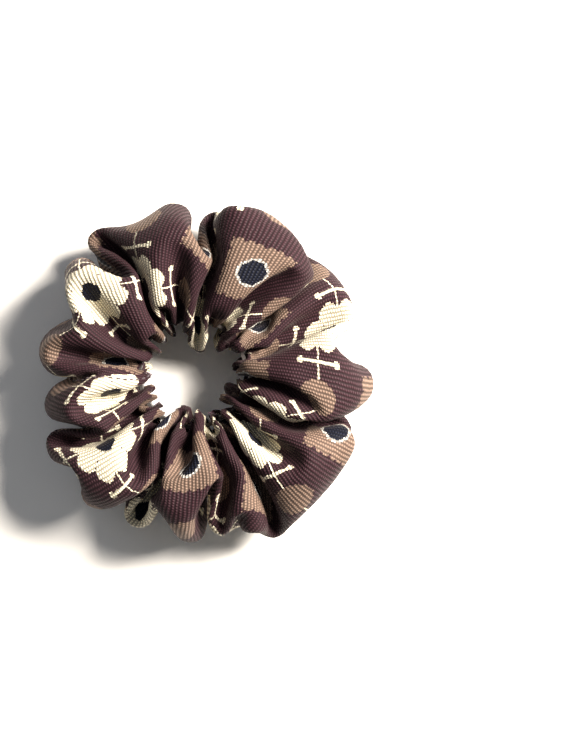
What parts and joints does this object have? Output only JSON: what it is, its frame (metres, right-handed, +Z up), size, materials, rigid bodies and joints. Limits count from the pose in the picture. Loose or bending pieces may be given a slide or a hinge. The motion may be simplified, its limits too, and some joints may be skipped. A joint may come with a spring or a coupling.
{
  "type": "scrunchie",
  "caption": "Hair scrunchie: a printed woven cloth tube gathered into a puffed ring on a hidden loop of flat elastic, with a clear hole for the hair.",
  "frame": {"origin": "middle of the underside, on the ring's axis, at the height of the surface that the scrunchie lies on", "axes": "+Z up along the ring's axis; +X from the middle towards the half that stays, -X the way the other half pulls; +Y completes the frame"},
  "size_m": [0.1068, 0.1068, 0.036],
  "materials": {
    "cover_cloth": "ribbed satin weave, printed",
    "elastic": "flat braided elastic",
    "sewing_thread": "spun polyester thread"
  },
  "bodies": {
    "right_half": {"cover_gather_1": "cover_cloth", "cover_gather_2": "cover_cloth", "cover_gather_3": "cover_cloth", "cover_gather_4": "cover_cloth", "elastic_right_half": "elastic", "long_seam_thread_right": "sewing_thread"},
    "left_half": {"cover_gather_5": "cover_cloth", "cover_gather_6": "cover_cloth", "cover_gather_7": "cover_cloth", "cover_gather_8": "cover_cloth", "elastic_inner_end": "elastic", "elastic_outer_end": "elastic", "elastic_tack_thread": "sewing_thread", "long_seam_thread_left": "sewing_thread", "closing_seam_thread": "sewing_thread"}
  },
  "joints": [
    {"name": "stretch", "type": "slide", "parent": "right_half", "child": "left_half", "axis": [-1, 0, 0], "range_m": [0, 0.08], "stiffness_N_per_m": 40}
  ]
}
